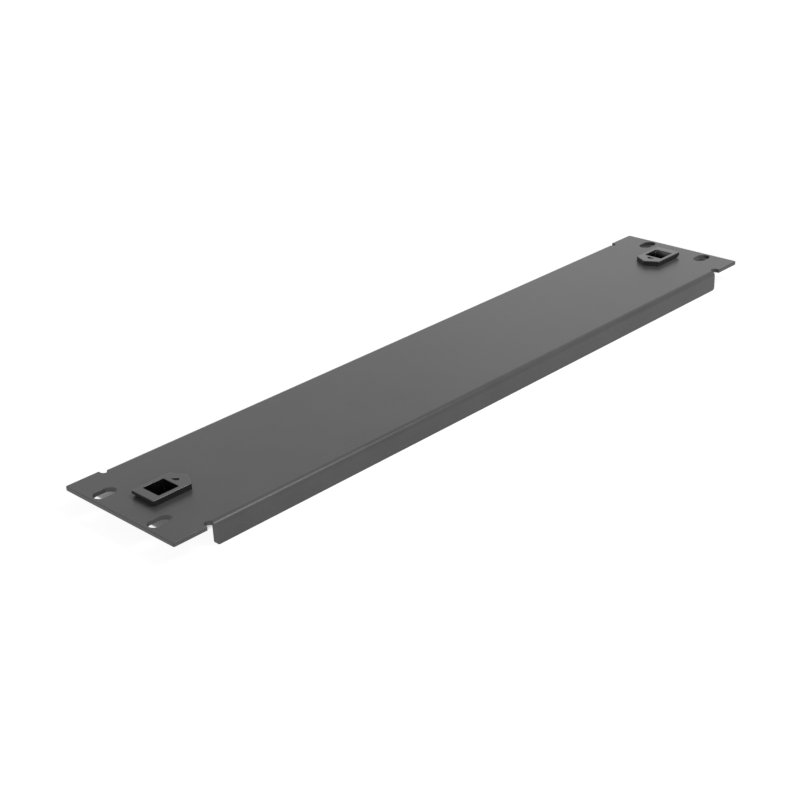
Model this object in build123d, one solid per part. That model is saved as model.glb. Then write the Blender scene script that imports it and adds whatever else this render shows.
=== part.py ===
from build123d import *
import os

os.makedirs("parts", exist_ok=True)

# A blanking panel for a 19 inch rack, two units high, with a sliding latch at each end.
# X runs along the panel, Y up the rack and Z out of its front.
# The origin is the middle of the four slots, on the plane where the ears meet the rack.

# Sheet
PANEL_L = 482.6
PANEL_H = 88.1
SHEET_T = 2.5
EAR_L = 25.4
EAR_CORNER_R = 1.0
EDGE_R = 0.4

# Folds and flanges
FOLD_IN_R = 0.6
FOLD_OUT_R = FOLD_IN_R + SHEET_T
FLANGE_DEPTH = 12.9
FLANGE_L = PANEL_L - 2 * EAR_L
FLANGE_CORNER_R = 1.8

# Relief notches between the ears and the folds
NOTCH_W = 4.9
NOTCH_DEPTH = 4.3

# Screw slots
SLOT_FROM_END = 8.75
SLOT_PITCH_X = PANEL_L - 2 * SLOT_FROM_END
SLOT_PITCH_Y = 44.45
SLOT_L = 13.2
SLOT_W = 8.2
SLOT_EDGE_R = 0.3

# Finger window and cup
WINDOW_FROM_END = 27.3
WINDOW_X = PANEL_L / 2 - WINDOW_FROM_END
WINDOW = 13.0
WINDOW_CORNER_R = 0.6
WINDOW_EDGE_R = 0.3
CUP_WALL = 1.2
CUP_DEPTH = 10.0
CUP_SLOPE_RUN = 3.0
CUP = WINDOW + 2 * CUP_WALL

# Latch front plate
PLATE_OUT_X = WINDOW_X + 11.7
PLATE_SHOULDER_X = WINDOW_X - 12.4
PLATE_TIP_X = WINDOW_X - 17.2
PLATE_HALF_H = 9.1
PLATE_PROUD = 3.4
PLATE_EDGE_R = 0.4
PLATE_CORNER_R = 0.6
PLATE_LIFT_L = 3.2
PLATE_LIFT_H = 1.5

# Arrow mark sunk in the front plate
MARK_BASE_X = WINDOW_X - 8.8
MARK_TIP_X = WINDOW_X - 11.9
MARK_HALF_H = 3.2
MARK_DEPTH = 0.6

# Fits between latch and sheet
TRAVEL = 5.0
SLIDE_GAP = 0.1
SIDE_GAP = 0.15
BACK_GAP = 0.15

# Snap barbs on the cup's upper and lower walls
BARB_W = 3.6
BARB_PITCH = 7.6
BARB_REACH = 0.9
BARB_TIP_T = 0.6
BARB_RAMP = 3.4

# Tongue behind the rack's rail
TONGUE_TIP_X = WINDOW_X + 15.4
TONGUE_HALF_H = 6.5
TONGUE_FRONT_Z = -2.6
TONGUE_T = 1.6
TONGUE_NOSE = 0.8
RIB_W = 1.2
RIB_TIP_BACK = 0.7

FRONT_Z = SHEET_T
FLANGE_Z = FRONT_Z - FLANGE_DEPTH
PLATE_FRONT_Z = FRONT_Z + PLATE_PROUD
PLATE_BACK_Z = FRONT_Z + SLIDE_GAP
CUP_FLOOR_Z = PLATE_FRONT_Z - CUP_DEPTH
CUP_BACK_Z = CUP_FLOOR_Z - CUP_WALL
CUTOUT_IN_X = WINDOW_X - CUP / 2 - SIDE_GAP - TRAVEL
CUTOUT_OUT_X = WINDOW_X + CUP / 2 + SIDE_GAP
CUTOUT_H = CUP + 2 * SIDE_GAP


# Block between two corners
def block(x0, x1, y0, y1, z0, z1):
    middle = ((x0 + x1) / 2, (y0 + y1) / 2, (z0 + z1) / 2)
    return Pos(*middle) * Box(x1 - x0, y1 - y0, z1 - z0)


# Edges whose middle lies in the given box
def edges_in(shape, x0, x1, y0, y1, z0, z1):
    found = []
    for e in shape.edges():
        c = e.position_at(0.5)
        if x0 <= c.X <= x1 and y0 <= c.Y <= y1 and z0 <= c.Z <= z1:
            found.append(e)
    return found


# Channel section: front with both long edges folded back
def folded_channel():
    half = PANEL_H / 2
    skin = block(-FLANGE_L / 2, FLANGE_L / 2, -half, half, FLANGE_Z, FRONT_Z)
    long_edges = skin.edges().filter_by(Axis.X).group_by(Axis.Z)[-1]
    skin = fillet(long_edges, FOLD_OUT_R)
    inner = half - SHEET_T
    hollow = block(-FLANGE_L, FLANGE_L, -inner, inner, FLANGE_Z - 10, 0)
    long_edges = hollow.edges().filter_by(Axis.X).group_by(Axis.Z)[-1]
    hollow = fillet(long_edges, FOLD_IN_R)
    channel = skin - hollow
    corners = channel.edges().filter_by(Axis.Y).group_by(Axis.Z)[0]
    return fillet(corners, FLANGE_CORNER_R)


# Flat ends of the sheet that carry the screw slots
def ears():
    flat = Pos(0, 0, SHEET_T / 2) * Box(PANEL_L, PANEL_H, SHEET_T)
    flat = fillet(flat.edges().filter_by(Axis.Z), EAR_CORNER_R)
    half = PANEL_H / 2
    return flat - block(-FLANGE_L / 2, FLANGE_L / 2, -half, half, -1, FRONT_Z + 1)


# Round-ended notch that lets the fold end clear of the ear
def notch(sx, sy):
    x = sx * (FLANGE_L / 2 + NOTCH_W / 2)
    y_in = PANEL_H / 2 - NOTCH_DEPTH + NOTCH_W / 2
    end = Pos(x, sy * y_in, SHEET_T / 2) * Cylinder(NOTCH_W / 2, 3 * SHEET_T)
    y0 = min(sy * y_in, sy * PANEL_H)
    y1 = max(sy * y_in, sy * PANEL_H)
    mouth = block(x - NOTCH_W / 2, x + NOTCH_W / 2, y0, y1, -SHEET_T, 2 * SHEET_T)
    return end + mouth


# Screw slot through an ear
def screw_slot(sx, sy):
    outline = SlotOverall(SLOT_L, SLOT_W)
    tool = extrude(outline, amount=3 * SHEET_T)
    return Pos(sx * SLOT_PITCH_X / 2, sy * SLOT_PITCH_Y / 2, -SHEET_T) * tool


# Front rims of the four slots
def slot_rims(body):
    half_l = SLOT_L / 2 + 0.01
    half_w = SLOT_W / 2 + 0.01
    low = FRONT_Z - 0.01
    rims = []
    for sx in (-1, 1):
        for sy in (-1, 1):
            x = sx * SLOT_PITCH_X / 2
            y = sy * SLOT_PITCH_Y / 2
            rims += edges_in(body, x - half_l, x + half_l, y - half_w, y + half_w, low, low + 0.02)
    return rims


# Opening that a latch slides in
def latch_cutout(sx):
    x0 = min(sx * CUTOUT_IN_X, sx * CUTOUT_OUT_X)
    x1 = max(sx * CUTOUT_IN_X, sx * CUTOUT_OUT_X)
    return block(x0, x1, -CUTOUT_H / 2, CUTOUT_H / 2, -SHEET_T, 2 * SHEET_T)


# The whole sheet
def panel():
    body = folded_channel() + ears()
    for sx in (-1, 1):
        for sy in (-1, 1):
            body -= notch(sx, sy)
    # Broken edges round the ears
    ear_x = FLANGE_L / 2 + NOTCH_W + 0.01
    for sx in (-1, 1):
        x0 = min(sx * ear_x, sx * PANEL_L)
        x1 = max(sx * ear_x, sx * PANEL_L)
        front = edges_in(body, x0, x1, -PANEL_H, PANEL_H, FRONT_Z - 0.01, FRONT_Z + 0.01)
        back = edges_in(body, x0, x1, -PANEL_H, PANEL_H, -0.01, 0.01)
        body = fillet(front + back, EDGE_R)
    for sx in (-1, 1):
        for sy in (-1, 1):
            body -= screw_slot(sx, sy)
        body -= latch_cutout(sx)
    return fillet(slot_rims(body), SLOT_EDGE_R)


# Wedge taken from under the plate's outer end, so that the end stands off the sheet
def plate_lift():
    pts = [
        (PLATE_OUT_X - PLATE_LIFT_L, PLATE_BACK_Z - 0.01),
        (PLATE_OUT_X + 1, PLATE_BACK_Z - 0.01),
        (PLATE_OUT_X + 1, PLATE_BACK_Z + PLATE_LIFT_H),
        (PLATE_OUT_X, PLATE_BACK_Z + PLATE_LIFT_H),
    ]
    face = Plane.XZ * make_face(Polyline(*pts, close=True))
    return Pos(0, PLATE_HALF_H + 1, 0) * extrude(face, amount=2 * PLATE_HALF_H + 2)


# Arrow-shaped front plate
def latch_plate():
    pts = [
        (PLATE_OUT_X, -PLATE_HALF_H),
        (PLATE_OUT_X, PLATE_HALF_H),
        (PLATE_SHOULDER_X, PLATE_HALF_H),
        (PLATE_TIP_X, 0),
        (PLATE_SHOULDER_X, -PLATE_HALF_H),
    ]
    face = make_face(Polyline(*pts, close=True))
    plate = Pos(0, 0, PLATE_BACK_Z) * extrude(face, amount=PLATE_FRONT_Z - PLATE_BACK_Z)
    plate = fillet(plate.edges().filter_by(Axis.Z), PLATE_CORNER_R)
    rim = plate.edges().group_by(Axis.Z)[-1]
    plate = fillet(rim, PLATE_EDGE_R)
    return plate - plate_lift()


# Sunken triangle that points the way the latch slides to open
def arrow_mark():
    pts = [
        (MARK_BASE_X, -MARK_HALF_H),
        (MARK_BASE_X, MARK_HALF_H),
        (MARK_TIP_X, 0),
    ]
    face = make_face(Polyline(*pts, close=True))
    return Pos(0, 0, PLATE_FRONT_Z - MARK_DEPTH) * extrude(face, amount=2 * MARK_DEPTH)


# Finger space inside window and cup, with a sloped wall on the outer side
def finger_space():
    half = WINDOW / 2
    top = PLATE_FRONT_Z + 1
    slope = CUP_SLOPE_RUN / CUP_DEPTH
    pts = [
        (WINDOW_X - half, CUP_FLOOR_Z),
        (WINDOW_X - half, top),
        (WINDOW_X + half + slope, top),
        (WINDOW_X + half - CUP_SLOPE_RUN, CUP_FLOOR_Z),
    ]
    face = Plane.XZ * make_face(Polyline(*pts, close=True))
    space = Pos(0, half, 0) * extrude(face, amount=WINDOW)
    uprights = edges_in(space, 0, PANEL_L, -WINDOW, WINDOW, CUP_FLOOR_Z + 1, top - 1)
    return fillet(uprights, WINDOW_CORNER_R)


# Outside of the finger cup
def cup_outside():
    top = PLATE_BACK_Z + 0.5
    height = top - CUP_BACK_Z
    cup = Pos(WINDOW_X, 0, CUP_BACK_Z + height / 2) * Box(CUP, CUP, height)
    cup = fillet(cup.edges().filter_by(Axis.Z), PLATE_CORNER_R)
    rim = cup.edges().group_by(Axis.Z)[0]
    return fillet(rim, PLATE_EDGE_R)


# Snap barb, a wedge on the cup's wall whose step catches behind the sheet
def barb(x, sy):
    wall_in = CUP / 2 - CUP_WALL / 2
    wall_out = CUP / 2
    tip_z = -BACK_GAP
    tip_y = wall_out + BARB_REACH
    pts = [
        (sy * wall_in, tip_z),
        (sy * tip_y, tip_z),
        (sy * tip_y, tip_z - BARB_TIP_T),
        (sy * wall_out, tip_z - BARB_TIP_T - BARB_RAMP),
        (sy * wall_in, tip_z - BARB_TIP_T - BARB_RAMP),
    ]
    face = Plane.YZ * make_face(Polyline(*pts, close=True))
    return Pos(x - BARB_W / 2, 0, 0) * extrude(face, amount=BARB_W)


# Stiffening rib behind the tongue
def tongue_rib(y):
    root_x = WINDOW_X + CUP / 2 - CUP_WALL / 2
    top_z = TONGUE_FRONT_Z - TONGUE_T / 2
    low_z = TONGUE_FRONT_Z - TONGUE_T
    pts = [
        (root_x, top_z),
        (root_x, CUP_BACK_Z + PLATE_EDGE_R),
        (WINDOW_X + CUP / 2 + 1.5, CUP_BACK_Z + PLATE_EDGE_R),
        (TONGUE_TIP_X - RIB_TIP_BACK - TONGUE_NOSE, low_z),
        (TONGUE_TIP_X - RIB_TIP_BACK - TONGUE_NOSE, top_z),
    ]
    face = Plane.XZ * make_face(Polyline(*pts, close=True))
    return Pos(0, y + RIB_W / 2, 0) * extrude(face, amount=RIB_W)


# Tongue that goes behind the rail, with its ribs
def tongue():
    root_x = WINDOW_X + CUP / 2 - CUP_WALL / 2
    z0 = TONGUE_FRONT_Z - TONGUE_T
    body = block(root_x, TONGUE_TIP_X, -TONGUE_HALF_H, TONGUE_HALF_H, z0, TONGUE_FRONT_Z)
    nose = edges_in(body, TONGUE_TIP_X - 0.01, TONGUE_TIP_X + 0.01, -50, 50, -50, z0 + 0.01)
    body = chamfer(nose, TONGUE_NOSE)
    for y in (-TONGUE_HALF_H + RIB_W / 2, 0, TONGUE_HALF_H - RIB_W / 2):
        body += tongue_rib(y)
    return body


# The latch at the right end
def latch():
    body = latch_plate() + cup_outside() + tongue()
    for dx in (-BARB_PITCH / 2, BARB_PITCH / 2):
        for sy in (-1, 1):
            body += barb(WINDOW_X + dx, sy)
    body -= finger_space()
    half = WINDOW / 2 + 0.01
    low = PLATE_FRONT_Z - 0.01
    rim = edges_in(body, WINDOW_X - half, WINDOW_X + half, -half, half, low, low + 0.02)
    body = fillet(rim, WINDOW_EDGE_R)
    return body - arrow_mark()


right = latch()
left = Rot(0, 0, 180) * right

export_step(panel(), "parts/panel.step")
export_step(right, "parts/latch_right.step")
export_step(left, "parts/latch_left.step")
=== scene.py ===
import math

import bpy
from mathutils import Euler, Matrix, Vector


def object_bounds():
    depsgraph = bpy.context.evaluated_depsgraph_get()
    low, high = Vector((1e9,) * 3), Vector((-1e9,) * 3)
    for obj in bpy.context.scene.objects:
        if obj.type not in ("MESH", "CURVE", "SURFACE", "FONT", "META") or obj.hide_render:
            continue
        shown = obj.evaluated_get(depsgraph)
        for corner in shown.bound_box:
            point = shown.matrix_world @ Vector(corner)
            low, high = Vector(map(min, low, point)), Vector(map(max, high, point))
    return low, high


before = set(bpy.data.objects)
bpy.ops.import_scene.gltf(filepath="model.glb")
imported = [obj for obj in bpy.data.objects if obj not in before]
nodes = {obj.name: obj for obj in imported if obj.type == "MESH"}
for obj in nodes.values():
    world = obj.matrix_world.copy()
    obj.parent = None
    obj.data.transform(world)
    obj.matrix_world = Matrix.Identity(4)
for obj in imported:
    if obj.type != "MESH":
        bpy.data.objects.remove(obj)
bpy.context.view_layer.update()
scene = bpy.context.scene
scene.view_settings.view_transform = "Standard"

# Lengths are in metres unless a name says mm, angles in degrees. Colours are linear.
WHITE = (1, 1, 1, 1)

# Camera, solved on the panel's outline
CAM_LOCATION = (-0.595239, -0.552358, 0.358771)
CAM_ANGLES = (64.7368, 2.4155, -46.1776)
CAM_LENS_MM = 67.32
CAM_SENSOR_MM = 36.0
CAM_CLIP_START = 0.01

# Cosine between the rounded and the true normal, on a flat face and on a full edge
EDGE_COSINES = (0.995, 0.80)
EDGE_SAMPLES = 4

# A SPREAD maps its first two numbers to its last two, or to 0 and 1.
# SHARES are the darkest and the palest tone, as shares of the base colour.
CLOUD_SPREAD = (0.35, 0.65)
FINE_ROUGH_SPREAD = (0.3, 0.7, 0.0, 0.04)

# Powder coat on the panel
COAT = (0.058, 0.058, 0.058, 1)
# Paler colour on the edges: partly coat worn thin, partly a painted highlight
COAT_WORN_AND_HIGHLIT = (0.095, 0.095, 0.095, 1)
COAT_CLOUDS = {"scale": 26.0, "detail": 3.0, "rough": 0.55}
COAT_CLOUD_SHARES = (0.88, 1.08)
COAT_PEEL = {"scale": 900.0}
COAT_GRAIN = {"scale": 3600.0, "detail": 1.0, "rough": 0.6}
COAT_GRAIN_SHARE = 1.7
COAT_GRAIN_SPREAD = (0.40, 0.72, 0.0, 0.45)
COAT_GRAIN_HEIGHT = 0.35
COAT_EDGE_RADIUS = 0.0006
COAT_WEAR_AND_HIGHLIGHT_SPREAD = (0.30, 0.70, 0.15, 0.85)
COAT_ROUGH_SPREAD = (0.3, 0.7, 0.28, 0.32)
COAT_BUMP = {"Strength": 0.32, "Distance": 0.00010}
COAT_IOR = 1.40

# Moulded plastic of the latches
PLASTIC = (0.005, 0.005, 0.005, 1)
# Paler colour on the edges, and how much of it: partly wear, partly a painted highlight
PLASTIC_WORN_AND_HIGHLIT = (0.055, 0.055, 0.055, 1)
PLASTIC_FLOW = {"scale": 90.0}
PLASTIC_FLOW_SHARES = (0.85, 1.15)
PLASTIC_SPARK = {"scale": 3000.0, "detail": 2.0, "rough": 0.6}
PLASTIC_EDGE_RADIUS = 0.0004
PLASTIC_EDGE_WEAR_AND_HIGHLIGHT = 0.6
PLASTIC_ROUGH_SPREAD = (0.3, 0.7, 0.13, 0.19)
PLASTIC_BUMP = {"Strength": 0.30, "Distance": 0.00005}
PLASTIC_IOR = 1.66

# Floor, far wider than the view. In its shade its colour darkens from one X to the other, a
# painted shadow under and just past the panel's right end.
FLOOR_SIZE = 20
FLOOR = (0.9, 0.9, 0.9, 1)
FLOOR_PAINTED_SHADOW = (0.08, 0.08, 0.08, 1)
PAINTED_SHADOW_X = (0.20, 0.26)

# Share of a white glow in the floor as it is seen, outside its shade and at the shade's left end,
# where the small share is painted light in place of light bounced under the panel.
# Within the shade that share falls to none from one X to the other.
GLOW_SHARE = 0.80
GLOW_SHARE_PAINTED_BOUNCE = 0.05
PAINTED_BOUNCE_FADE_X = (-0.20, 0.20)

# Strength of the glow near the panel and far off, and between which distances it rises
GLOW_NEAR = 1.15
GLOW_FAR = 1.32
GLOW_RISE = (0.27, 0.38)

# Where the floor's shade starts, is full, is still full, and ends. There its glow is dropped so
# the lamps' real shade shows, and near the right end its colour is a painted shadow as well.
SHADE_X = (-0.2250, -0.2238, 0.262, 0.274)
SHADE_Y = (-0.029, -0.023, 0.044, 0.060)

# Strength of the world's light on the object. The world itself is seen as white.
WORLD_LIGHT = 0.30

# Lamps: name, place, target, width, height, watts. The softbox draws the bright line on the
# near fold, the side lamp lights the flange and the left end, and the rear one the right end.
LAMPS = (
    ("softbox", (0.33, -0.53, 0.95), (-0.213, -0.043, 0), 0.3, 0.55, 5.4),
    ("side", (-1.0, -1.2, 0.43), (0, 0, 0), 0.8, 0.5, 8.3),
    ("rear", (1.75, 0.85, 0.60), (0.2, 0, 0), 1.2, 0.7, 0.70),
)


def add_camera():
    data = bpy.data.cameras.new("camera")
    data.sensor_width = CAM_SENSOR_MM
    data.lens = CAM_LENS_MM
    data.clip_start = CAM_CLIP_START
    camera = bpy.data.objects.new("camera", data)
    camera.location = CAM_LOCATION
    camera.rotation_euler = Euler([math.radians(a) for a in CAM_ANGLES], "XYZ")
    scene.collection.objects.link(camera)
    scene.camera = camera


class Shader:
    """A node tree, with short calls to add and join nodes.

    Sockets go by number where the names of a node's sockets repeat.
    """

    def __init__(self, tree):
        self.tree = tree
        self.tree.nodes.clear()

    def node(self, kind, inputs=None, **settings):
        n = self.tree.nodes.new(kind)
        for key, value in settings.items():
            setattr(n, key, value)
        for key, value in (inputs or {}).items():
            if isinstance(value, bpy.types.NodeSocket):
                self.tree.links.new(value, n.inputs[key])
            else:
                n.inputs[key].default_value = value
        return n

    def coords(self):
        return self.node("ShaderNodeTexCoord").outputs["Object"]

    def noise(self, coords, scale, detail=2.0, rough=0.5):
        values = {"Vector": coords, "Scale": scale, "Detail": detail, "Roughness": rough}
        return self.node("ShaderNodeTexNoise", values).outputs["Fac"]

    def spread(self, value, low, high, out_low=0.0, out_high=1.0):
        values = {0: value, 1: low, 2: high, 3: out_low, 4: out_high}
        return self.node("ShaderNodeMapRange", values).outputs[0]

    def math(self, operation, a, b=0.0):
        return self.node("ShaderNodeMath", {0: a, 1: b}, operation=operation).outputs[0]

    def mix(self, factor, a, b):
        values = {0: factor, 6: a, 7: b}
        return self.node("ShaderNodeMix", values, data_type="RGBA").outputs[2]

    def blend(self, share, a, b):
        """Shader a, with this share of shader b."""
        values = {0: share, 1: a.outputs[0], 2: b.outputs[0]}
        return self.node("ShaderNodeMixShader", values).outputs[0]

    def edges(self, radius):
        """1 along sharp edges, 0 on flat faces."""
        soft = self.node("ShaderNodeBevel", {"Radius": radius}, samples=EDGE_SAMPLES).outputs[0]
        flat = self.node("ShaderNodeNewGeometry").outputs["Normal"]
        dot = self.node("ShaderNodeVectorMath", {0: soft, 1: flat}, operation="DOT_PRODUCT")
        return self.spread(dot.outputs["Value"], *EDGE_COSINES)

    def surface(self, colour, rough, height, bump, ior):
        """The material's output, with a bump that follows the height."""
        normal = self.node("ShaderNodeBump", {**bump, "Height": height}).outputs[0]
        values = {"Base Color": colour, "Roughness": rough, "Normal": normal, "IOR": ior}
        bsdf = self.node("ShaderNodeBsdfPrincipled", values)
        self.node("ShaderNodeOutputMaterial", {"Surface": bsdf.outputs[0]})


def new_material(name):
    material = bpy.data.materials.new(name)
    material.use_nodes = True
    return material, Shader(material.node_tree)


def tone(colour, share):
    return tuple(c * share for c in colour[:3]) + (1,)


def powder_coat():
    """Baked satin coat: orange peel, fine grain, faint clouds, and paler edges that are partly
    coat worn thin and partly a painted highlight.
    """
    material, s = new_material("powder_coat")
    coords = s.coords()
    clouds = s.noise(coords, **COAT_CLOUDS)
    peel = s.noise(coords, **COAT_PEEL)
    grain = s.noise(coords, **COAT_GRAIN)
    dark, pale = [tone(COAT, share) for share in COAT_CLOUD_SHARES]
    colour = s.mix(s.spread(clouds, *CLOUD_SPREAD), dark, pale)
    colour = s.mix(s.spread(grain, *COAT_GRAIN_SPREAD), colour, tone(COAT, COAT_GRAIN_SHARE))
    # Edges painted paler: partly wear, partly a painted highlight along them
    edge_wear_and_highlight = s.math("MULTIPLY", s.edges(COAT_EDGE_RADIUS), s.spread(peel, *COAT_WEAR_AND_HIGHLIGHT_SPREAD))
    colour = s.mix(edge_wear_and_highlight, colour, COAT_WORN_AND_HIGHLIT)
    rough_clouds = s.spread(clouds, *COAT_ROUGH_SPREAD)
    rough = s.math("ADD", rough_clouds, s.spread(grain, *FINE_ROUGH_SPREAD))
    height = s.math("ADD", peel, s.math("MULTIPLY", grain, COAT_GRAIN_HEIGHT))
    s.surface(colour, rough, height, COAT_BUMP, COAT_IOR)
    return material


def latch_plastic():
    """Moulded plastic: fine spark texture, faint flow clouds, and paler edges that are partly
    wear and partly a painted highlight.
    """
    material, s = new_material("latch_plastic")
    coords = s.coords()
    flow = s.noise(coords, **PLASTIC_FLOW)
    spark = s.noise(coords, **PLASTIC_SPARK)
    dark, pale = [tone(PLASTIC, share) for share in PLASTIC_FLOW_SHARES]
    colour = s.mix(s.spread(flow, *CLOUD_SPREAD), dark, pale)
    # Edges painted paler: partly wear, partly a painted highlight along them
    edge_wear_and_highlight = s.math("MULTIPLY", s.edges(PLASTIC_EDGE_RADIUS), PLASTIC_EDGE_WEAR_AND_HIGHLIGHT)
    colour = s.mix(edge_wear_and_highlight, colour, PLASTIC_WORN_AND_HIGHLIT)
    rough_flow = s.spread(flow, *PLASTIC_ROUGH_SPREAD)
    rough = s.math("ADD", rough_flow, s.spread(spark, *FINE_ROUGH_SPREAD))
    s.surface(colour, rough, spark, PLASTIC_BUMP, PLASTIC_IOR)
    return material


def seen_white(s):
    """1 for rays from the camera, a gloss or a clear body, which see a white ground."""
    path = s.node("ShaderNodeLightPath")
    seen = s.math("ADD", path.outputs["Is Camera Ray"], path.outputs["Is Glossy Ray"])
    seen = s.math("ADD", seen, path.outputs["Is Transmission Ray"])
    return s.math("MINIMUM", seen, 1.0)


def floor_material():
    """Pale floor that is seen as white, apart from a shade under and just past the panel, with a
    painted shadow in its colour past the right end.
    """
    material, s = new_material("floor")
    where = s.node("ShaderNodeSeparateXYZ", {0: s.coords()})
    x, y = where.outputs["X"], where.outputs["Y"]
    shaded = 1.0
    for value, (out_low, in_low, in_high, out_high) in ((x, SHADE_X), (y, SHADE_Y)):
        for low, high in ((out_low, in_low), (out_high, in_high)):
            shaded = s.math("MULTIPLY", s.spread(value, low, high), shaded)
    away = s.math("MAXIMUM", s.math("ABSOLUTE", x), s.math("ABSOLUTE", y))
    strength = s.spread(away, *GLOW_RISE, GLOW_NEAR, GLOW_FAR)
    # Painted light: a faint glow in the shade under the panel's left end, fading out to the right
    painted_bounce = s.spread(x, *PAINTED_BOUNCE_FADE_X, GLOW_SHARE_PAINTED_BOUNCE, 0.0)
    share = s.spread(shaded, 0.0, 1.0, GLOW_SHARE, painted_bounce)
    share = s.math("MULTIPLY", share, seen_white(s))
    # Painted shadow: the floor's colour darkens under and just past the panel's right end
    dark = s.math("MULTIPLY", s.spread(x, *PAINTED_SHADOW_X), shaded)
    diffuse = s.node("ShaderNodeBsdfDiffuse", {"Color": s.mix(dark, FLOOR, FLOOR_PAINTED_SHADOW)})
    glow = s.node("ShaderNodeEmission", {"Strength": strength})
    s.node("ShaderNodeOutputMaterial", {"Surface": s.blend(share, diffuse, glow)})
    return material


def add_floor():
    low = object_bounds()[0].z
    bpy.ops.mesh.primitive_plane_add(size=FLOOR_SIZE, location=(0, 0, low))
    floor = bpy.context.object
    floor.name = "floor"
    floor.data.materials.append(floor_material())


def add_world():
    """Plain light for the object, and white where the world itself or its mirror is seen."""
    world = bpy.data.worlds.new("studio")
    scene.world = world
    world.use_nodes = True
    s = Shader(world.node_tree)
    light = s.node("ShaderNodeBackground", {"Color": WHITE, "Strength": WORLD_LIGHT})
    white = s.node("ShaderNodeBackground", {"Color": WHITE, "Strength": 1.0})
    s.node("ShaderNodeOutputWorld", {"Surface": s.blend(seen_white(s), light, white)})


def add_lamp(name, location, target, width, height, watts):
    data = bpy.data.lights.new(name, "AREA")
    data.shape = "RECTANGLE"
    data.size = width
    data.size_y = height
    data.energy = watts
    lamp = bpy.data.objects.new(name, data)
    lamp.location = location
    direction = Vector(target) - Vector(location)
    lamp.rotation_euler = direction.to_track_quat("-Z", "Y").to_euler()
    scene.collection.objects.link(lamp)


coat = powder_coat()
plastic = latch_plastic()
for name, material in (("panel", coat), ("latch_left", plastic), ("latch_right", plastic)):
    nodes[name].data.materials.clear()
    nodes[name].data.materials.append(material)

add_camera()
add_floor()
add_world()
for lamp in LAMPS:
    add_lamp(*lamp)
